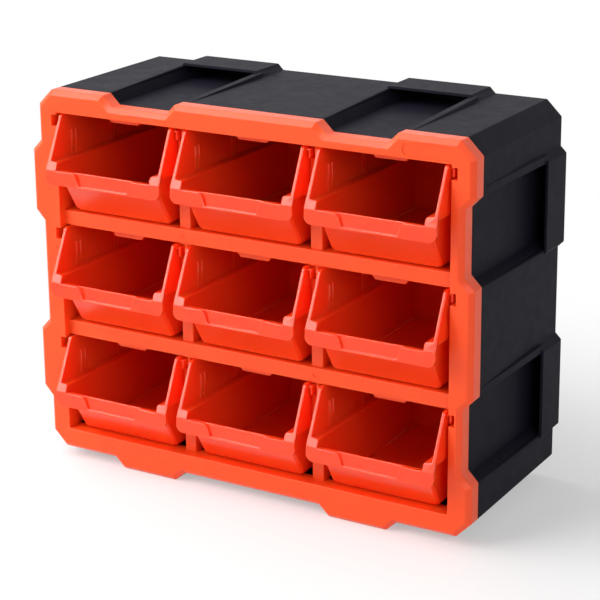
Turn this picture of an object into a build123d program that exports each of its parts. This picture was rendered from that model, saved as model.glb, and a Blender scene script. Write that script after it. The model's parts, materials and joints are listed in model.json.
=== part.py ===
from build123d import *
import os

os.makedirs("parts", exist_ok=True)

# Overall size of one unit in mm, without what reaches into its neighbours
WIDTH = 310.0
HEIGHT = 245.0
DEPTH = 125.5
CORNER = 10.0          # chamfer of the four long edges
WALL = 2.5             # wall of the rear shell
OVERRUN = 5.0          # how far cutting shapes run past the faces they open

# Interlock between units: tabs and rails at the bottom and left, notches and channels at the top and right
LINK_SHARES = (0.25, 0.75)
TAB_HEIGHT = 6.5
TAB_TIP_HALF = 20.2
TAB_BASE_HALF = 27.2
LINK_GAP = 0.3         # clearance all round a tab in its notch
CHANNEL_FLOOR_HALF = 24.4
RIB = 5.0              # guide rib beside each channel
RIB_RISE = 2.6         # height of the rib where it meets the strap
STRAP_LENGTH = 28.5
STRAP_RISE = 3.9
STRAP_SKIN = 2.1
STRAP_TOP_HALF = 28.7
POCKET_END = 2.0       # wall that closes the pocket under a strap at the rear
STRAP_GAP = 0.7        # clearance round a neighbour's strap and ribs
TONGUE_GAP = 2.5       # end play of the tongue in the pocket
PAD_START = 22.0       # depth at which the shell wall thickens over the rail recesses

# Front frame
BEZEL = 12.5
BEZEL_EDGE = 3.0
RAIL = 14.25
STILE = 14.75
BAR = 9.6
BAR_SETBACK = 5.0
BAR_DEPTH = 11.0
BAR_WALL = 2.4
POST = 8.0
POST_SETBACK = 7.0
POST_DEPTH = 17.0
SIDE_PLAY = 1.75       # extra width of the outer cells beside the stile
RIM_NOTCH = 3.8        # into a stile
RIM_NOTCH_POST = 2.9   # into each side of a post
RIM_NOTCH_TALL = 7.4
RIM_NOTCH_DROP = 1.6   # below the top of the cell
STOP_DROP = 5.1        # stop tab under the top edge of each cell
STOP_THICK = 2.2
STOP_HALF_SHARES = (0.234, 0.276, 0.345)   # of the half cell: lower edge, middle, root
STOP_ROOT = 4.0
COLLAR_DEPTH = 8.0
COLLAR_WALL = 2.0
COLLAR_GAP = 0.25
CATCH_WIDTH = 16.0
CATCH_RISE = 0.9
CATCH_LENGTH = 4.0
GATE_RADIUS = 1.75
GATE_DEPTH = 0.4
RAIL_PAD_LENGTH = 36.0
RAIL_PAD_TALL = 8.0
RAIL_PAD_END = 10.5    # from the right plane to the end of the bare pad
RAIL_PAD_DEPTH = 0.5

# Shelves
SHELF_SKIN = 2.4
SHELF_DROP = 0.2       # top of a shelf below the top of its bar
SHELF_SIDE_GAP = 0.8
TONGUE = 4.2           # height of the front tongue and of the ribs under a shelf
TONGUE_LAP = 6.0
FIT_GAP = 0.3          # clearance of a tongue in its slot and of a bin on its floor
SHELF_RIB = 2.0
SHELF_RIB_SHARES = (0.3, 0.55, 0.8)

# Inside of the shell
LEDGE = 10.5
REAR_LEDGE = 4.0
REAR_STOP = 6.5        # ribs on the rear wall that the bins come to rest against
STOP_RIB = 3.0
FLOOR_RIB = 2.2
FLOOR_RIB_SHARE = 0.6  # of the half cell, from the bin's middle
SCREW_RADIUS = 2.6
SCREW_BOSS = 7.0
SCREW_BOSS_RISE = 1.5
SCREW_LEVEL_SHARE = 0.36   # of the cell height, above the row's floor

# Bins
BIN_SIDE_GAP = 0.5
BIN_TOP_GAP = 0.75
BIN_WALL = 2.0
KNEE_INSET = 5.2       # lower body narrower than the upper part, at its top and at its foot
FOOT_INSET = 5.8
KNEE_SHARE = 0.524     # levels as shares of the cell height
SILL_SHARE = 0.556
LIP_LOW_SHARE = 0.34
LIP_TOP_SHARE = 0.484
SILL_RISE = 0.8        # fall of the inner ledge from the cheek to its edge
SILL_SLOPE = 0.42      # back per unit of height, on the block that ends the ledge at the lip
LIP_REACH = 15.0
LIP_THICK = 3.2
LIP_EDGE = 3.6         # depth of the lip's top edge
LIP_FALL = 1.8         # slope behind that edge
LIP_ROOT = 2.4         # height of the root that joins the lip to the front wall
LIP_OVER = 0.5
LIP_CORNER = 5.0
FRONT_FOOT = 7.2       # depth of the lower front edge
FRONT_SLOPE = 0.6      # forward per unit of height
FOOT_RADIUS = 4.5
PANEL_EDGE = 1.6       # chamfer round the sloping front
REAR_DRAFT = 1.0
CHEEK_SETBACK = 16.0   # slope of the cheek's front edge
CHEEK_RADIUS = 3.5
LABEL_HALF = 20.7
LABEL_SLANT = 2.4
LABEL_DEPTH = 2.0
LABEL_LEDGE = 1.3
LABEL_FLARE = 1.4
FLANGE = 3.0           # guide flange outside the rim
FLANGE_TALL = 6.2
FLANGE_SKIN = 1.7
FLANGE_START = 3.0
SLOT_RIB = 1.4
SLOT_RISE = 1.2
SLOT_WIDTH = 3.0
SLOT_FRONT = 12.3
SLOT_REAR = 55.0
SLOT_TALL_SHARE = 0.26

# Layout worked out from the sizes above
COLUMNS = ("left", "centre", "right")
ROWS = ("bottom", "middle", "top")
OPEN_X = (STILE, WIDTH - STILE)
OPEN_Z = (RAIL, HEIGHT - RAIL)
CELL_H = (OPEN_Z[1] - OPEN_Z[0] - (len(ROWS) - 1) * BAR) / len(ROWS)
CELL_W = (OPEN_X[1] - OPEN_X[0] - 2 * SIDE_PLAY - (len(COLUMNS) - 1) * POST) / len(COLUMNS)
COLUMN_X = [WIDTH / 2 + (i - 1) * (CELL_W + POST) for i in range(len(COLUMNS))]
POST_X = [(a + b) / 2 for a, b in zip(COLUMN_X, COLUMN_X[1:])]
FLOOR_Z = [OPEN_Z[0] + i * (CELL_H + BAR) for i in range(len(ROWS))]
BAR_Z = FLOOR_Z[1:]
NOTCH_DEPTH = TAB_HEIGHT + LINK_GAP
NOTCH_HALF = TAB_BASE_HALF + LINK_GAP
NOTCH_FLOOR_HALF = TAB_TIP_HALF + LINK_GAP
LINER = NOTCH_DEPTH + WALL
STRAP_START = DEPTH - STRAP_LENGTH
STRAP_HALF = STRAP_TOP_HALF + STRAP_RISE
RECESS = STRAP_RISE + STRAP_GAP
RECESS_HALF = STRAP_HALF + STRAP_GAP
PAD = RECESS + WALL
CAVITY_END = DEPTH - WALL
BIN_REAR = CAVITY_END - REAR_STOP - FIT_GAP
BIN_HALF = CELL_W / 2 - BIN_SIDE_GAP
BIN_TOP = CELL_H - BIN_TOP_GAP
KNEE = CELL_H * KNEE_SHARE
KNEE_HALF = BIN_HALF - KNEE_INSET
FEMALE = [("top", WIDTH * s) for s in LINK_SHARES] + [("right", HEIGHT * s) for s in LINK_SHARES]
MALE = [("bottom", WIDTH * s) for s in LINK_SHARES] + [("left", HEIGHT * s) for s in LINK_SHARES]
TO_ORIGIN = Pos(-(WIDTH + STRAP_RISE - TAB_HEIGHT) / 2, -(DEPTH - LIP_REACH) / 2, TAB_HEIGHT)


def face_of(points):
    return make_face(Polyline(*points, close=True))


def along_x(face, x0, x1):
    """Prism of a (y, z) face between two x planes."""
    return extrude(Plane.YZ.offset(x0) * face, amount=x1 - x0, dir=(1, 0, 0))


def along_y(face, y0, y1):
    """Prism of an (x, z) face between two depths."""
    return extrude(Plane.XZ.offset(-y0) * face, amount=y1 - y0, dir=(0, 1, 0))


def along_z(face, z0, z1):
    """Prism of an (x, y) face between two heights."""
    return extrude(Plane.XY.offset(z0) * face, amount=z1 - z0, dir=(0, 0, 1))


def block(x, y, z):
    """Solid between pairs of planes."""
    return along_z(face_of([(x[0], y[0]), (x[1], y[0]), (x[1], y[1]), (x[0], y[1])]), z[0], z[1])


def fuse(shapes):
    solid = shapes[0]
    for shape in shapes[1:]:
        solid = solid + shape
    return solid


def cut(solid, shapes):
    for shape in shapes:
        solid = solid - shape
    return solid


def near(shape, points):
    """Corners of a flat face next to the given points."""
    return [shape.vertices().sort_by_distance((p[0], p[1], 0))[0] for p in points]


def side_point(side, at, along, out):
    """Point (x, z) placed along one side of the outline and out from it."""
    if side == "top":
        return at + along, HEIGHT + out
    if side == "bottom":
        return at + along, -out
    if side == "right":
        return WIDTH + out, at + along
    return -out, at + along


def link_face(side, at, points):
    return face_of([side_point(side, at, along, out) for along, out in points])


def link_wedge(side, at, along, points):
    """Prism along one side of the outline with a profile of (depth, out) points."""
    a, b = at + along[0], at + along[1]
    if side in ("top", "bottom"):
        return along_x(face_of([(y, side_point(side, at, 0, out)[1]) for y, out in points]), a, b)
    return along_z(face_of([(side_point(side, at, 0, out)[0], y) for y, out in points]), a, b)


def mirrored(points):
    """Outline closed by its own mirror image across the middle."""
    return points + [(-u, w) for u, w in reversed(points)]


def rectangle(inset):
    """Outline of the unit with its chamfered corners, drawn in by a wall."""
    c = CORNER - inset * (2 - 2 ** 0.5)
    a, b = inset, WIDTH - inset
    d, e = inset, HEIGHT - inset
    return face_of([(a + c, d), (b - c, d), (b, d + c), (b, e - c),
                    (b - c, e), (a + c, e), (a, e - c), (a, d + c)])


def cavity_face(inset):
    """Inside of the shell, running round the channels, drawn in by a further inset."""
    face = rectangle(WALL + inset)
    liner = mirrored([(NOTCH_HALF + WALL + inset, OVERRUN), (NOTCH_HALF + WALL + inset, -WALL),
                      (CHANNEL_FLOOR_HALF + WALL + inset, -LINER - inset)])
    return cut(face, [link_face(side, at, liner) for side, at in FEMALE])


def tab_face(side, at, root):
    half = [(TAB_BASE_HALF, -root), (TAB_BASE_HALF, 0), (TAB_TIP_HALF, TAB_HEIGHT)]
    return link_face(side, at, mirrored(half))


def catches(grow, rise):
    """Ramped catch at the middle of each side, on the collar or as its pocket in the shell."""
    y0 = BEZEL + COLLAR_DEPTH - CATCH_LENGTH - grow
    y1 = BEZEL + COLLAR_DEPTH + grow
    foot = WALL + COLLAR_GAP + COLLAR_WALL / 2
    top = WALL + COLLAR_GAP - rise
    half = CATCH_WIDTH / 2 + grow
    profile = [(y0, -foot), (y0, -top), (y0 + CATCH_LENGTH / 4, -top), (y1, -WALL - COLLAR_GAP), (y1, -foot)]
    middles = (("top", WIDTH / 2), ("bottom", WIDTH / 2), ("right", HEIGHT / 2), ("left", HEIGHT / 2))
    return [link_wedge(side, at, (-half, half), profile) for side, at in middles]


def screw_places():
    return [(x, FLOOR_Z[i] + CELL_H * SCREW_LEVEL_SHARE) for x in (COLUMN_X[0], COLUMN_X[-1])
            for i in (0, len(ROWS) - 1)]


def rear_shell():
    solid = along_y(rectangle(0), BEZEL, DEPTH)
    solid = solid - along_y(cavity_face(0), BEZEL - OVERRUN, CAVITY_END)
    # Ledges under the shelves, stop ribs behind the bins, and the floor ribs of the bottom row
    inner = (WALL / 2, WIDTH - WALL / 2)
    in_wall = CAVITY_END + WALL / 2
    for z in BAR_Z:
        under = z - SHELF_DROP - SHELF_SKIN
        for x, reach in ((inner[0], WALL / 2 + LEDGE), (inner[1], -WALL / 2 - LEDGE)):
            bracket = face_of([(x, under), (x + reach, under), (x, under - LEDGE)])
            solid = solid + along_y(bracket, PAD_START, in_wall)
        solid = solid + block(inner, (CAVITY_END - REAR_LEDGE, in_wall), (under - TONGUE, under))
    for z in FLOOR_Z:
        level = z + KNEE
        solid = solid + block(inner, (CAVITY_END - REAR_STOP, in_wall), (level, level + STOP_RIB))
    for x in COLUMN_X:
        for sign in (-1, 1):
            middle = x + sign * FLOOR_RIB_SHARE * CELL_W / 2
            rib = [(PAD_START, WALL / 2), (in_wall, WALL / 2), (in_wall, FLOOR_Z[0]), (PAD_START, FLOOR_Z[0])]
            solid = solid + along_x(face_of(rib), middle - FLOOR_RIB / 2, middle + FLOOR_RIB / 2)
    # Top and right: guide ribs and straps over channels
    strap = mirrored([(STRAP_HALF, -WALL / 2), (STRAP_HALF, 0), (STRAP_TOP_HALF, STRAP_RISE)])
    channel = mirrored([(NOTCH_HALF, STRAP_RISE - STRAP_SKIN), (NOTCH_HALF, 0),
                        (CHANNEL_FLOOR_HALF, -NOTCH_DEPTH)])
    ramp = [(BEZEL, 0), (STRAP_START + POCKET_END, RIB_RISE), (STRAP_START + POCKET_END, -WALL / 2),
            (BEZEL, -WALL / 2)]
    for side, at in FEMALE:
        solid = solid + along_y(link_face(side, at, strap), STRAP_START, DEPTH)
        for low in (NOTCH_HALF, -NOTCH_HALF - RIB):
            solid = solid + link_wedge(side, at, (low, low + RIB), ramp)
    solid = cut(solid, [along_y(link_face(side, at, channel), BEZEL - OVERRUN, DEPTH - POCKET_END)
                        for side, at in FEMALE])
    # Bottom and left: rails that end in a tongue, with recesses for a neighbour's straps and ribs
    pad = mirrored([(RECESS_HALF + WALL, -WALL / 2), (RECESS_HALF + WALL, -PAD)])
    slope = (RIB_RISE + STRAP_GAP) / (STRAP_START - BEZEL)
    groove = [(BEZEL - OVERRUN, OVERRUN), (BEZEL - OVERRUN, 0), (BEZEL, -STRAP_GAP / 2),
              (DEPTH, -slope * (DEPTH - BEZEL)), (DEPTH, OVERRUN)]
    recess = mirrored([(RECESS_HALF, OVERRUN), (RECESS_HALF, -RECESS)])
    recess_start = STRAP_START - TONGUE_GAP
    tongue_top = STRAP_RISE - STRAP_SKIN - STRAP_GAP
    tongue = mirrored([(TAB_BASE_HALF, -tongue_top), (TAB_BASE_HALF, 0), (TAB_TIP_HALF, TAB_HEIGHT)])
    tongue_end = DEPTH - POCKET_END - TONGUE_GAP
    for side, at in MALE:
        solid = solid + along_y(link_face(side, at, pad), PAD_START, DEPTH)
        solid = solid - along_y(link_face(side, at, recess), recess_start, DEPTH + OVERRUN)
        for low in (TAB_BASE_HALF, -RECESS_HALF):
            solid = solid - link_wedge(side, at, (low, low + RECESS_HALF - TAB_BASE_HALF), groove)
        solid = solid + along_y(tab_face(side, at, WALL / 2), BEZEL, recess_start)
        solid = solid + along_y(link_face(side, at, tongue), recess_start - WALL, tongue_end)
    # Pockets for the frame's catches and holes for wall screws
    solid = cut(solid, catches(COLLAR_GAP, CATCH_RISE + COLLAR_GAP))
    for x, z in screw_places():
        boss = Pos(x, z) * Circle(SCREW_BOSS)
        solid = solid + along_y(boss, CAVITY_END - SCREW_BOSS_RISE, in_wall)
        solid = solid - along_y(Pos(x, z) * Circle(SCREW_RADIUS), CAVITY_END - OVERRUN, DEPTH + OVERRUN)
    return solid


def front_frame():
    outline = rectangle(0)
    notch = mirrored([(NOTCH_HALF, OVERRUN), (NOTCH_HALF, 0), (NOTCH_FLOOR_HALF, -NOTCH_DEPTH)])
    outline = cut(outline, [link_face(side, at, notch) for side, at in FEMALE])
    outline = fuse([outline] + [tab_face(side, at, BEZEL_EDGE) for side, at in MALE])
    solid = along_y(outline, 0, BEZEL)
    solid = chamfer(solid.faces().sort_by(Axis.Y)[0].outer_wire().edges(), BEZEL_EDGE)
    solid = solid - block(OPEN_X, (-OVERRUN, BEZEL + OVERRUN), OPEN_Z)
    # Collar and catches that hold the frame in the mouth of the shell
    collar = cavity_face(COLLAR_GAP) - cavity_face(COLLAR_GAP + COLLAR_WALL)
    solid = solid + along_y(collar, BEZEL - WALL, BEZEL + COLLAR_DEPTH)
    solid = fuse([solid] + catches(0, CATCH_RISE))
    # Bars, open at the rear for the shelf's tongue
    bar_y = (BAR_SETBACK, BAR_SETBACK + BAR_DEPTH)
    for z in BAR_Z:
        a, b = z - BAR, z
        y0, y1, y2 = bar_y[0], bar_y[0] + BAR_WALL, bar_y[1]
        section = [(y0, a), (y2, a), (y2, a + BAR_WALL), (y1, a + BAR_WALL),
                   (y1, b - BAR_WALL), (y2, b - BAR_WALL), (y2, b), (y0, b)]
        solid = solid + along_x(face_of(section), OPEN_X[0] - WALL, OPEN_X[1] + WALL)
    # Posts, necked near the top for the bins' flanges; the same notches, and guide walls, at the stiles
    neck = POST / 2 - RIM_NOTCH_POST
    for floor in FLOOR_Z:
        top = floor + CELL_H
        high = top - RIM_NOTCH_DROP
        low = high - RIM_NOTCH_TALL
        for x in POST_X:
            side = [(POST / 2, floor - BAR_WALL / 2), (POST / 2, low), (neck, low), (neck, high),
                    (POST / 2, high), (POST / 2, top + BAR_WALL / 2)]
            post = face_of([(x + u, w) for u, w in mirrored(side)])
            rear = POST_SETBACK + POST_DEPTH
            solid = solid + along_y(post, POST_SETBACK, bar_y[0] + BAR_DEPTH)
            hang = face_of([(x + u, min(max(w, floor), top)) for u, w in mirrored(side)])
            solid = solid + along_y(hang, POST_SETBACK, rear)
        for x, back in zip(OPEN_X, (-WALL, WALL)):
            solid = solid - block((x - RIM_NOTCH, x + RIM_NOTCH), (-OVERRUN, BEZEL + OVERRUN), (low, high))
            solid = solid + block(sorted((x, x + back)), (BEZEL - WALL, PAD_START - FIT_GAP), (floor, low))
    # Stop tabs that catch the rear wall of a bin
    half, middle, root = [share * CELL_W / 2 for share in STOP_HALF_SHARES]
    for floor in FLOOR_Z:
        top = floor + CELL_H
        tab = mirrored([(half, -STOP_DROP), (middle, -STOP_DROP / 2), (root, 0), (root, STOP_ROOT)])
        if top + STOP_ROOT < OPEN_Z[1]:
            tab = mirrored([(half, -STOP_DROP), (middle, -STOP_DROP / 2), (root, 0), (root, BAR_WALL / 2)])
        for x in COLUMN_X:
            place = face_of([(x + u, top + w) for u, w in tab])
            solid = solid + along_y(place, BEZEL - STOP_ROOT / 8, BEZEL + STOP_THICK)
    # Moulding marks on the bars and a bare pad on the top rail
    for x, z in ((POST_X[0], BAR_Z[1]), (POST_X[1], BAR_Z[0])):
        spot = Pos(x, z - BAR / 2) * Circle(GATE_RADIUS)
        solid = solid - along_y(spot, BAR_SETBACK - GATE_DEPTH, BAR_SETBACK + GATE_DEPTH)
    pad = SlotOverall(RAIL_PAD_LENGTH, RAIL_PAD_TALL)
    place = Pos(WIDTH - RAIL_PAD_END - RAIL_PAD_LENGTH / 2, HEIGHT - RAIL / 2 - BEZEL_EDGE / 2)
    solid = solid - along_y(place * pad, -RAIL_PAD_DEPTH, RAIL_PAD_DEPTH)
    return solid


def shelf(bar_top):
    top = bar_top - SHELF_DROP
    under = top - SHELF_SKIN
    front = BAR_SETBACK + BAR_WALL + FIT_GAP
    behind = BAR_SETBACK + BAR_DEPTH + FIT_GAP
    lap = behind + TONGUE_LAP
    slot_top = bar_top - BAR_WALL - FIT_GAP
    slot_low = bar_top - BAR + BAR_WALL + FIT_GAP
    rear = CAVITY_END - FIT_GAP
    left = PAD + SHELF_SIDE_GAP
    right = WIDTH - LINER - SHELF_SIDE_GAP
    inner = (OPEN_X[0] + FIT_GAP, OPEN_X[1] - FIT_GAP)
    plate = [(inner[0], behind), (inner[1], behind), (inner[1], PAD_START), (right, PAD_START),
             (right, rear), (left, rear), (left, PAD_START), (inner[0], PAD_START)]
    solid = along_z(face_of(plate), under, top)
    joint = under + SHELF_SKIN / 2
    tongue = [(front, slot_top), (behind, slot_top), (behind, joint), (lap, joint), (lap, slot_low),
              (front, slot_low)]
    solid = solid + along_x(face_of(tongue), *inner)
    run = CAVITY_END - REAR_LEDGE - FIT_GAP
    low = under - TONGUE + FIT_GAP
    for share in SHELF_RIB_SHARES:
        y = lap + (run - lap) * share
        solid = solid + block(inner, (y, y + SHELF_RIB), (low, under + SHELF_SKIN / 2))
    for x in POST_X:
        solid = solid + block((x - SHELF_RIB / 2, x + SHELF_RIB / 2), (lap - TONGUE_LAP / 2, run),
                              (low, under + SHELF_SKIN / 2))
    return solid


def lower_body(wall, floor, top, front):
    """Lower body of a bin, or its hollow when drawn in by a wall: a trough closed by a sloping front."""
    half, foot = BIN_HALF - KNEE_INSET - wall, BIN_HALF - FOOT_INSET - wall
    trough = face_of(mirrored([(half, top), (half, KNEE), (foot, floor)]))
    trough = fillet(near(trough, [(foot, floor), (-foot, floor)]), FOOT_RADIUS - wall)
    rear = BIN_REAR - wall
    side = face_of(front + [(rear, top), (rear, KNEE), (rear - REAR_DRAFT, floor)])
    return along_y(trough, -LIP_REACH, BIN_REAR + OVERRUN) & along_x(side, -BIN_HALF, BIN_HALF)


def bin_solid():
    lip_low, lip_top = CELL_H * LIP_LOW_SHARE, CELL_H * LIP_TOP_SHARE
    sill = CELL_H * SILL_SHARE
    sill_top = sill + SILL_RISE
    lip_back, lip_edge = LIP_THICK - LIP_REACH, LIP_EDGE - LIP_REACH
    inside = BIN_HALF - KNEE_INSET - BIN_WALL
    skew = BIN_WALL * (1 + FRONT_SLOPE ** 2) ** 0.5

    def slope(w, back=0):
        return FRONT_FOOT + back - FRONT_SLOPE * (w - FIT_GAP), w

    # Lower body with a sloping front, under a wider upper part with sloping cheeks
    joint = KNEE + BIN_WALL / 2
    lower = lower_body(0, FIT_GAP, joint, [slope(FIT_GAP), slope(joint)])
    panel = lower.faces().filter_by(lambda f: f.normal_at().Y < -FRONT_SLOPE).sort_by(Axis.Y)[0]
    rim = [e for e in panel.edges() if e.center().Z < KNEE]
    cheek_low, cheek_top = (-LIP_REACH, lip_top), (-LIP_REACH + CHEEK_SETBACK, BIN_TOP)
    cheek = face_of([cheek_low, cheek_top, (BIN_REAR, BIN_TOP), (BIN_REAR, KNEE), (lip_back, KNEE),
                     (lip_back, lip_top)])
    cheek = fillet(near(cheek, [cheek_top]), CHEEK_RADIUS)
    solid = along_x(cheek, -BIN_HALF, BIN_HALF) + chamfer(rim, PANEL_EDGE)
    # Front lip with a raised block at each end, and the root that joins it to the sloping front
    corner = (BIN_HALF + LIP_OVER, lip_low)
    lip = face_of(mirrored([corner, (corner[0], sill_top), (inside, sill_top), (inside, lip_top)]))
    lip = fillet(near(lip, [corner, (-corner[0], corner[1])]), LIP_CORNER)
    ahead = -LIP_REACH - OVERRUN
    lip = along_y(lip, -LIP_REACH, lip_back)
    lip = lip - along_x(face_of([(ahead, lip_top), cheek_low, cheek_top, (ahead, BIN_TOP)]), -CELL_W, CELL_W)
    solid = solid + lip
    root_half = inside + BIN_WALL / 2
    solid = solid + block((-root_half, root_half), (lip_back - LIP_THICK / 2, lip_back + LIP_THICK),
                          (lip_top - LIP_ROOT, KNEE))
    # Hollow: between the cheeks down to the ledge and the blocks, through the mouth, and into the lower body
    cheeks = BIN_HALF - BIN_WALL
    upper = mirrored([(cheeks, BIN_TOP + OVERRUN), (cheeks, sill_top), (inside, sill)])
    solid = solid - along_y(face_of(upper), ahead, BIN_REAR - BIN_WALL)
    above = [(ahead, lip_top), cheek_low, (SILL_SLOPE * (sill_top - lip_top) - LIP_REACH, sill_top),
             (ahead, sill_top)]
    solid = solid - along_x(face_of(above), -cheeks, cheeks)
    solid = solid - block((-inside, inside), (ahead, lip_edge), (lip_top, sill_top))
    floor = FIT_GAP + BIN_WALL
    throat = [slope(floor, skew), slope(lip_top - LIP_FALL, skew), (lip_edge, lip_top), (lip_edge, sill_top)]
    solid = solid - lower_body(BIN_WALL, floor, sill_top, throat)
    # Label recess in the lip
    base = lip_low + LABEL_LEDGE
    label = mirrored([(LABEL_HALF + LABEL_FLARE, lip_top + OVERRUN), (LABEL_HALF + LABEL_FLARE, lip_top),
                      (LABEL_HALF, lip_top - LABEL_FLARE), (LABEL_HALF - LABEL_SLANT, base)])
    solid = solid - along_y(face_of(label), ahead, -LIP_REACH + LABEL_DEPTH)
    # Guide flange with a skirt outside each rim
    flange_top = CELL_H - RIM_NOTCH_DROP - (RIM_NOTCH_TALL - FLANGE_TALL) / 2
    flange_low = flange_top - FLANGE_TALL
    edge = BIN_HALF + FLANGE
    angle = [(BIN_HALF - BIN_WALL / 2, flange_top), (edge, flange_top), (edge, flange_low),
             (edge - FLANGE_SKIN, flange_low), (edge - FLANGE_SKIN, flange_top - FLANGE_SKIN),
             (BIN_HALF - BIN_WALL / 2, flange_top - FLANGE_SKIN)]
    for sign in (-1, 1):
        solid = solid + along_y(face_of([(sign * u, w) for u, w in angle]), FLANGE_START, BIN_REAR)
    # Rib pairs that hold a divider
    for sign in (-1, 1):
        for depth in (SLOT_FRONT, SLOT_REAR):
            for y in (depth - SLOT_WIDTH / 2 - SLOT_RIB, depth + SLOT_WIDTH / 2):
                ends = sorted((sign * (cheeks - SLOT_RISE), sign * (cheeks + BIN_WALL / 2)))
                solid = solid + block(ends, (y, y + SLOT_RIB), (sill, sill + CELL_H * SLOT_TALL_SHARE))
    return solid


NODES = {"rear_shell": rear_shell(), "front_frame": front_frame(),
         "shelf_lower": shelf(BAR_Z[0]), "shelf_upper": shelf(BAR_Z[1])}
storage_bin = bin_solid()
for row, z in zip(ROWS, FLOOR_Z):
    for column, x in zip(COLUMNS, COLUMN_X):
        NODES[f"bin_{row}_{column}"] = Pos(x, 0, z) * storage_bin

for name, solid in NODES.items():
    placed = TO_ORIGIN * solid
    export_step(placed, f"parts/{name}.step")
    box = placed.bounding_box()
    print(name, len(placed.solids()), round(placed.volume), [round(v, 2) for v in (*box.min, *box.max)])
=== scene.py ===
"""Parts rack with pull-out bins: moulded finishes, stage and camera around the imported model."""

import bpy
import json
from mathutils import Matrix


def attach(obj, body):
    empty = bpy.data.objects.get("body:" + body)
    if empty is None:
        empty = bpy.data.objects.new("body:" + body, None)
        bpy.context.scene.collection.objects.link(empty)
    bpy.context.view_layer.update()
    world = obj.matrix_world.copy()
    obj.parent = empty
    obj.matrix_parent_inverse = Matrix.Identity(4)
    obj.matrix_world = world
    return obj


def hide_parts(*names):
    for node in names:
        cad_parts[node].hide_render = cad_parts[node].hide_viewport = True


bl_info = {
    "name": "Parts rack",
    "version": (1, 0, 0),
    "blender": (4, 5, 0),
    "location": "View3D > Sidebar > Parts rack",
    "description": "Softened mouldings, plastic finishes, stage and camera for the packed rack",
    "category": "Object",
}

import json
import math

import bmesh
import bpy
from bpy.props import FloatProperty, FloatVectorProperty, IntProperty, PointerProperty
from mathutils import Matrix, Vector

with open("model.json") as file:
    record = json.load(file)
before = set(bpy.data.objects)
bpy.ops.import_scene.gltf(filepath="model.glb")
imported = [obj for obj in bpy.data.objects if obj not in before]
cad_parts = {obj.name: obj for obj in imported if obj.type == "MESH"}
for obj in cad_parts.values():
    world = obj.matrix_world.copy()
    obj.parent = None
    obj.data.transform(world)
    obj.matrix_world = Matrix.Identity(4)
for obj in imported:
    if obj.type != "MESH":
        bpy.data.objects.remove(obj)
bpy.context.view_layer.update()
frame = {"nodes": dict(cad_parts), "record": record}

MM = 0.001
WHITE = (1.0, 1.0, 1.0, 1.0)

BIN_NODES = sorted(node for node in frame["nodes"] if node.startswith("bin_"))
SHELF_NODES = ("shelf_lower", "shelf_upper")
BODIES = frame["record"]["behaviour"]["bodies"]
BODY_OF = {node: body for body, nodes in BODIES.items() for node in nodes}

# Rounding of the mouldings
MERGE_DISTANCE = 0.002 * MM         # joins the loose triangles of a CAD node
FLAT_ANGLE = math.radians(0.6)      # neighbouring faces within this angle become one
EDGE_ANGLE = math.radians(24.0)     # outer edges that turn more than this are rounded
EDGE_ROOM = 1.5                     # least width of the faces beside such an edge, in radii
CURVED_WIDTH = 3.0 * MM             # faces narrower than this are shaded smooth
CREASE_ANGLE = math.radians(40.0)   # edges that turn more than this stay sharp

# Moulded plastic
GRAIN_DEPTH = 0.15 * MM
RUB_RANGE = (0.3, 0.7)              # part of the handling marks that changes the gloss
GLOW_RADIUS = (1.0, 0.2, 0.1)       # how far red, green and blue light spread in a wall
GLOW_DEPTH = 4.0 * MM

# Floor
PAPER_ROUGHNESS = 0.9
PAPER_SPECULAR = 0.1
FADE_START = 0.17                   # distance from the middle at which the floor starts to fade
FADE_END = 0.45                     # distance at which it has become the background
FADE_LEAST = 0.4                    # share of background under the object

# Lamps
AIM = (0.0, 0.0, 0.12)
RIM_AIM = (0.0, 0.0, 0.2)

# Camera
SENSOR_WIDTH = 36.0
PICTURE_WIDTH = 600.0               # in pixels
FOCAL_LENGTH = 1917.73              # in pixels
SHIFT_UP = -0.15
AZIMUTH, ELEVATION, ROLL = (math.radians(angle) for angle in (30.427, 15.867, -0.541))
EYE = Vector((0.60115, -1.0079, 0.5111))


class RackFinish(bpy.types.PropertyGroup):
    """Colours and edge radii of the mouldings."""

    case_colour: FloatVectorProperty(
        name="Case colour", description="Base colour of the rear case",
        subtype="COLOR", size=4, min=0.0, max=1.0, default=(0.0080, 0.0074, 0.0135, 1.0))
    frame_colour: FloatVectorProperty(
        name="Frame colour", description="Base colour of the front frame and shelves",
        subtype="COLOR", size=4, min=0.0, max=1.0, default=(0.95, 0.085, 0.009, 1.0))
    bin_colour: FloatVectorProperty(
        name="Bin colour", description="Base colour of the bins",
        subtype="COLOR", size=4, min=0.0, max=1.0, default=(1.0, 0.062, 0.010, 1.0))
    case_edge: FloatProperty(
        name="Case edge", description="Radius of the case's edges",
        unit="LENGTH", default=0.6 * MM, min=0.0)
    frame_edge: FloatProperty(
        name="Frame edge", description="Radius of the frame's edges",
        unit="LENGTH", default=0.5 * MM, min=0.0)
    shelf_edge: FloatProperty(
        name="Shelf edge", description="Radius of the shelves' edges",
        unit="LENGTH", default=0.35 * MM, min=0.0)
    bin_edge: FloatProperty(
        name="Bin edge", description="Radius of the bins' edges",
        unit="LENGTH", default=0.6 * MM, min=0.0)
    edge_steps: IntProperty(
        name="Edge steps", description="Facets across each rounded edge",
        subtype="UNSIGNED", default=3, min=1, max=6)


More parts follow.
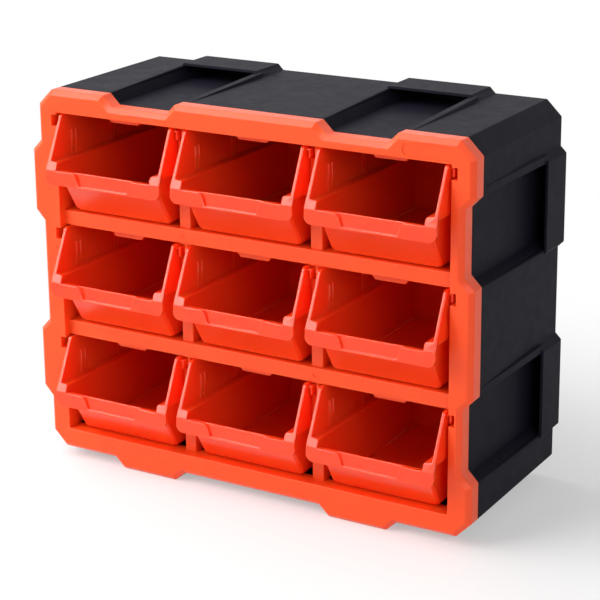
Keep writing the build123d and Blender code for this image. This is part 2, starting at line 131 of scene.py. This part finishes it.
class RackStage(bpy.types.PropertyGroup):
    """Floor and light."""

    floor_colour: FloatVectorProperty(
        name="Floor colour", description="Colour of the floor",
        subtype="COLOR", size=4, min=0.0, max=1.0, default=(0.86, 0.86, 0.86, 1.0))
    floor_reach: FloatProperty(
        name="Floor reach", description="Half width of the floor",
        unit="LENGTH", default=6.0)
    overhead_power: FloatProperty(
        name="Overhead", description="Power of the overhead light",
        unit="POWER", default=13.0)
    key_power: FloatProperty(
        name="Key", description="Power of the main light, on the front left",
        unit="POWER", default=32.5)
    fill_power: FloatProperty(
        name="Fill", description="Power of the light on the front right",
        unit="POWER", default=8.0)
    rim_power: FloatProperty(
        name="Rim", description="Power of the light behind the left side",
        unit="POWER", default=1.4)
    sky: FloatProperty(
        name="Sky", description="Strength of the surrounding light",
        subtype="FACTOR", default=0.27, min=0.0, max=1.0)


def principled(material):
    """Main shader of a material."""
    return next(node for node in material.node_tree.nodes if node.type == "BSDF_PRINCIPLED")


def darker(colour, share):
    """Colour with that share of its brightness."""
    return tuple(channel * share for channel in colour[:3]) + (1.0,)


def moulded_surface_group():
    """Shared moulding effect: fine tool texture, slow colour mottle and handling marks."""
    name = "moulded_surface"
    if name in bpy.data.node_groups:
        return bpy.data.node_groups[name]
    group = bpy.data.node_groups.new(name, "ShaderNodeTree")
    face = group.interface
    face.new_socket("Vector", in_out="INPUT", socket_type="NodeSocketVector")
    for label, scale in (("Grain", 1400.0), ("Mottle", 14.0), ("Marks", 90.0)):
        socket = face.new_socket(label, in_out="INPUT", socket_type="NodeSocketFloat")
        socket.default_value = scale
    for label in ("Height", "Tone", "Rub"):
        face.new_socket(label, in_out="OUTPUT", socket_type="NodeSocketFloat")
    nodes, links = group.nodes, group.links
    entry = nodes.new("NodeGroupInput")
    leave = nodes.new("NodeGroupOutput")
    for label, result, detail, roughness, distortion in (
            ("Grain", "Height", 3.0, 0.6, 0.0),
            ("Mottle", "Tone", 4.0, 0.5, 0.0),
            ("Marks", "Rub", 6.0, 0.7, 0.6)):
        texture = nodes.new("ShaderNodeTexNoise")
        texture.inputs["Detail"].default_value = detail
        texture.inputs["Roughness"].default_value = roughness
        texture.inputs["Distortion"].default_value = distortion
        links.new(entry.outputs["Vector"], texture.inputs["Vector"])
        links.new(entry.outputs[label], texture.inputs["Scale"])
        links.new(texture.outputs["Fac"], leave.inputs[result])
    return group


def plastic(name, colour, tint, roughness, grain, bump, specular, glow=0.0):
    """Moulded plastic with a tool texture, a slow tone change and uneven gloss.

    With some glow, its walls pass light.
    """
    material = bpy.data.materials.new(name)
    material.use_nodes = True
    nodes, links = material.node_tree.nodes, material.node_tree.links
    shader = principled(material)
    place = nodes.new("ShaderNodeTexCoord")
    surface = nodes.new("ShaderNodeGroup")
    surface.node_tree = moulded_surface_group()
    surface.inputs["Grain"].default_value = grain
    links.new(place.outputs["Object"], surface.inputs["Vector"])
    mix = nodes.new("ShaderNodeMix")
    mix.data_type = "RGBA"
    mix.inputs["A"].default_value = tint
    mix.inputs["B"].default_value = colour
    links.new(surface.outputs["Tone"], mix.inputs["Factor"])
    links.new(mix.outputs["Result"], shader.inputs["Base Color"])
    gloss = nodes.new("ShaderNodeMapRange")
    gloss.inputs["From Min"].default_value, gloss.inputs["From Max"].default_value = RUB_RANGE
    gloss.inputs["To Min"].default_value, gloss.inputs["To Max"].default_value = roughness
    links.new(surface.outputs["Rub"], gloss.inputs["Value"])
    links.new(gloss.outputs["Result"], shader.inputs["Roughness"])
    relief = nodes.new("ShaderNodeBump")
    relief.inputs["Strength"].default_value = bump
    relief.inputs["Distance"].default_value = GRAIN_DEPTH
    links.new(surface.outputs["Height"], relief.inputs["Height"])
    links.new(relief.outputs["Normal"], shader.inputs["Normal"])
    shader.inputs["Specular IOR Level"].default_value = specular
    shader.inputs["Subsurface Weight"].default_value = glow
    shader.inputs["Subsurface Radius"].default_value = GLOW_RADIUS
    shader.inputs["Subsurface Scale"].default_value = GLOW_DEPTH
    return material


def strip_width(face):
    """Rough width of a long face."""
    return face.calc_area() / max(edge.calc_length() for edge in face.edges)


def takes_rounding(edge, radius):
    """Whether an edge is a sharp outer one with room for the radius on both sides."""
    return (edge.is_manifold and edge.is_convex and edge.calc_face_angle() > EDGE_ANGLE
            and min(strip_width(face) for face in edge.link_faces) > EDGE_ROOM * radius)


def softened(node, radius, steps):
    """Copy of a CAD node with its triangles merged and its outer edges rounded."""
    bm = bmesh.new()
    bm.from_mesh(frame["nodes"][node].data)
    bmesh.ops.remove_doubles(bm, verts=bm.verts, dist=MERGE_DISTANCE)
    bmesh.ops.dissolve_limit(bm, angle_limit=FLAT_ANGLE, use_dissolve_boundaries=False,
                             verts=bm.verts, edges=bm.edges)
    edges = [edge for edge in bm.edges if takes_rounding(edge, radius)]
    bmesh.ops.bevel(bm, geom=edges, offset=radius, offset_type="OFFSET", segments=steps,
                    profile=0.5, affect="EDGES", clamp_overlap=False, material=-1)
    for face in bm.faces:
        face.smooth = strip_width(face) < CURVED_WIDTH
    mesh = bpy.data.meshes.new(node + "_moulding")
    bm.to_mesh(mesh)
    bm.free()
    mesh.set_sharp_from_angle(angle=CREASE_ANGLE)
    piece = bpy.data.objects.new(node + "_moulding", mesh)
    bpy.context.scene.collection.objects.link(piece)
    weighted = piece.modifiers.new("face_normals", "WEIGHTED_NORMAL")
    weighted.keep_sharp = True
    return piece


def place_moulding(node, radius, steps, material):
    """Softened copy in place of its CAD node, on the node's body and in its material slot."""
    piece = softened(node, radius, steps)
    piece.data.materials.append(material)
    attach(piece, BODY_OF[node])
    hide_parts(node)


class RACK_OT_case(bpy.types.Operator):
    """Rear case with its channels, straps and rails, in textured dark plastic."""

    bl_idname = "rack.case"
    bl_label = "Rear case"

    def execute(self, context):
        finish = context.scene.rack_finish
        material = plastic(
            "case_plastic", finish.case_colour, tint=darker(finish.case_colour, 0.8),
            roughness=(0.5, 0.6), grain=1500.0, bump=0.35, specular=0.05)
        place_moulding("rear_shell", finish.case_edge, finish.edge_steps, material)
        return {"FINISHED"}


class RACK_OT_front_frame(bpy.types.Operator):
    """Front frame with its bars, posts and stop tabs, in bright satin plastic."""

    bl_idname = "rack.front_frame"
    bl_label = "Front frame"

    def execute(self, context):
        finish = context.scene.rack_finish
        material = plastic(
            "frame_plastic", finish.frame_colour, tint=darker(finish.frame_colour, 0.95),
            roughness=(0.34, 0.44), grain=2200.0, bump=0.1, specular=0.36, glow=0.6)
        place_moulding("front_frame", finish.frame_edge, finish.edge_steps, material)
        return {"FINISHED"}


class RACK_OT_shelves(bpy.types.Operator):
    """Floor plates of the upper rows, in the front frame's plastic."""

    bl_idname = "rack.shelves"
    bl_label = "Shelves"

    def execute(self, context):
        finish = context.scene.rack_finish
        material = bpy.data.materials["frame_plastic"]
        for node in SHELF_NODES:
            place_moulding(node, finish.shelf_edge, finish.edge_steps, material)
        return {"FINISHED"}


class RACK_OT_bins(bpy.types.Operator):
    """Pull-out bins with hopper fronts, in bright glossy plastic."""

    bl_idname = "rack.bins"
    bl_label = "Bins"

    def execute(self, context):
        finish = context.scene.rack_finish
        material = plastic(
            "bin_plastic", finish.bin_colour, tint=darker(finish.bin_colour, 0.97),
            roughness=(0.18, 0.26), grain=2600.0, bump=0.04, specular=0.5, glow=1.0)
        for node in BIN_NODES:
            place_moulding(node, finish.bin_edge, finish.edge_steps, material)
        return {"FINISHED"}


def area_light(name, place, aim, width, height, power):
    """Soft rectangular lamp turned towards a point."""
    data = bpy.data.lights.new(name, "AREA")
    data.shape = "RECTANGLE"
    data.size, data.size_y = width, height
    data.energy = power
    lamp = bpy.data.objects.new(name, data)
    bpy.context.scene.collection.objects.link(lamp)
    lamp.location = place
    lamp.rotation_euler = (Vector(aim) - Vector(place)).to_track_quat("-Z", "Y").to_euler()


def background_rays(nodes, links):
    """Value that is 1 for the rays that show the background: camera, glossy and transmission."""
    path = nodes.new("ShaderNodeLightPath")
    either = nodes.new("ShaderNodeMath")
    either.operation = "MAXIMUM"
    links.new(path.outputs["Is Camera Ray"], either.inputs[0])
    links.new(path.outputs["Is Glossy Ray"], either.inputs[1])
    any_of = nodes.new("ShaderNodeMath")
    any_of.operation = "MAXIMUM"
    links.new(either.outputs["Value"], any_of.inputs[0])
    links.new(path.outputs["Is Transmission Ray"], any_of.inputs[1])
    return any_of.outputs["Value"]


def make_world(strength):
    """Even white surroundings, at full strength where they are the background."""
    world = bpy.data.worlds.new("studio")
    bpy.context.scene.world = world
    world.use_nodes = True
    nodes, links = world.node_tree.nodes, world.node_tree.links
    background = next(node for node in nodes if node.type == "BACKGROUND")
    background.inputs["Color"].default_value = WHITE
    level = nodes.new("ShaderNodeMapRange")
    level.inputs["To Min"].default_value = strength
    level.inputs["To Max"].default_value = 1.0
    links.new(background_rays(nodes, links), level.inputs["Value"])
    links.new(level.outputs["Result"], background.inputs["Strength"])


def floor_paper(colour):
    """White paper that keeps the shadow near the object and fades into the surroundings."""
    material = bpy.data.materials.new("floor_paper")
    material.use_nodes = True
    nodes, links = material.node_tree.nodes, material.node_tree.links
    shader = principled(material)
    shader.inputs["Base Color"].default_value = colour
    shader.inputs["Roughness"].default_value = PAPER_ROUGHNESS
    shader.inputs["Specular IOR Level"].default_value = PAPER_SPECULAR
    glow = nodes.new("ShaderNodeEmission")
    glow.inputs["Color"].default_value = WHITE
    place = nodes.new("ShaderNodeTexCoord")
    away = nodes.new("ShaderNodeVectorMath")
    away.operation = "LENGTH"
    links.new(place.outputs["Object"], away.inputs[0])
    fade = nodes.new("ShaderNodeMapRange")
    fade.interpolation_type = "SMOOTHSTEP"
    fade.inputs["From Min"].default_value = FADE_START
    fade.inputs["From Max"].default_value = FADE_END
    fade.inputs["To Min"].default_value = FADE_LEAST
    links.new(away.outputs["Value"], fade.inputs["Value"])
    seen = nodes.new("ShaderNodeMath")
    seen.operation = "MULTIPLY"
    links.new(fade.outputs["Result"], seen.inputs[0])
    links.new(background_rays(nodes, links), seen.inputs[1])
    blend = nodes.new("ShaderNodeMixShader")
    links.new(seen.outputs["Value"], blend.inputs["Fac"])
    links.new(shader.outputs["BSDF"], blend.inputs[1])
    links.new(glow.outputs["Emission"], blend.inputs[2])
    out = next(node for node in nodes if node.type == "OUTPUT_MATERIAL")
    links.new(blend.outputs["Shader"], out.inputs["Surface"])
    return material


def make_floor(colour, reach):
    """Flat square floor under the rack."""
    bm = bmesh.new()
    bmesh.ops.create_grid(bm, x_segments=1, y_segments=1, size=reach)
    mesh = bpy.data.meshes.new("floor")
    bm.to_mesh(mesh)
    bm.free()
    floor = bpy.data.objects.new("floor", mesh)
    bpy.context.scene.collection.objects.link(floor)
    mesh.materials.append(floor_paper(colour))


def make_camera():
    """Long lens that looks down on the front from the right, at the photograph's angle."""
    data = bpy.data.cameras.new("camera")
    data.sensor_width = SENSOR_WIDTH
    data.lens = SENSOR_WIDTH * FOCAL_LENGTH / PICTURE_WIDTH
    data.shift_y = SHIFT_UP
    back = Vector((math.sin(AZIMUTH) * math.cos(ELEVATION),
                   -math.cos(AZIMUTH) * math.cos(ELEVATION),
                   math.sin(ELEVATION)))
    right = Vector((math.cos(AZIMUTH), math.sin(AZIMUTH), 0.0))
    up = back.cross(right)
    turned = right * math.cos(ROLL) + up * math.sin(ROLL)
    raised = up * math.cos(ROLL) - right * math.sin(ROLL)
    camera = bpy.data.objects.new("camera", data)
    bpy.context.scene.collection.objects.link(camera)
    turn = Matrix((turned, raised, back)).transposed()
    camera.matrix_world = Matrix.Translation(EYE) @ turn.to_4x4()
    bpy.context.scene.camera = camera


class RACK_OT_stage(bpy.types.Operator):
    """Pale floor, soft studio light and the camera."""

    bl_idname = "rack.stage"
    bl_label = "Stage"

    def execute(self, context):
        stage = context.scene.rack_stage
        context.scene.view_settings.view_transform = "Standard"
        make_floor(stage.floor_colour, stage.floor_reach)
        make_world(stage.sky)
        area_light("overhead", place=(-0.65, -0.2, 1.5), aim=AIM,
                   width=1.2, height=1.0, power=stage.overhead_power)
        area_light("key", place=(-1.15, -1.05, 1.1), aim=AIM,
                   width=1.5, height=1.3, power=stage.key_power)
        area_light("fill", place=(1.35, -1.0, 0.9), aim=AIM,
                   width=1.0, height=0.8, power=stage.fill_power)
        area_light("rim", place=(-1.1, 1.5, 0.75), aim=RIM_AIM,
                   width=1.2, height=0.8, power=stage.rim_power)
        make_camera()
        return {"FINISHED"}


class RACK_PT_panel(bpy.types.Panel):
    """Lists the rack's finishes and operators."""

    bl_idname = "RACK_PT_panel"
    bl_label = "Parts rack"
    bl_space_type = "VIEW_3D"
    bl_region_type = "UI"
    bl_category = "Parts rack"

    def draw(self, context):
        layout = self.layout
        for group in (context.scene.rack_finish, context.scene.rack_stage):
            for name in group.bl_rna.properties.keys():
                if name not in ("rna_type", "name"):
                    layout.prop(group, name)
        for operator in OPERATORS:
            layout.operator(operator.bl_idname)


OPERATORS = (RACK_OT_case, RACK_OT_front_frame, RACK_OT_shelves, RACK_OT_bins, RACK_OT_stage)
CLASSES = (RackFinish, RackStage, *OPERATORS, RACK_PT_panel)


def register():
    """Adds the classes and the settings to Blender."""
    for cls in CLASSES:
        bpy.utils.register_class(cls)
    bpy.types.Scene.rack_finish = PointerProperty(type=RackFinish)
    bpy.types.Scene.rack_stage = PointerProperty(type=RackStage)


def unregister():
    """Takes them out again."""
    del bpy.types.Scene.rack_stage
    del bpy.types.Scene.rack_finish
    for cls in reversed(CLASSES):
        bpy.utils.unregister_class(cls)


def main():
    """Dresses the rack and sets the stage."""
    register()
    bpy.ops.rack.case()
    bpy.ops.rack.front_frame()
    bpy.ops.rack.shelves()
    bpy.ops.rack.bins()
    bpy.ops.rack.stage()


if __name__ == "__main__":
    main()
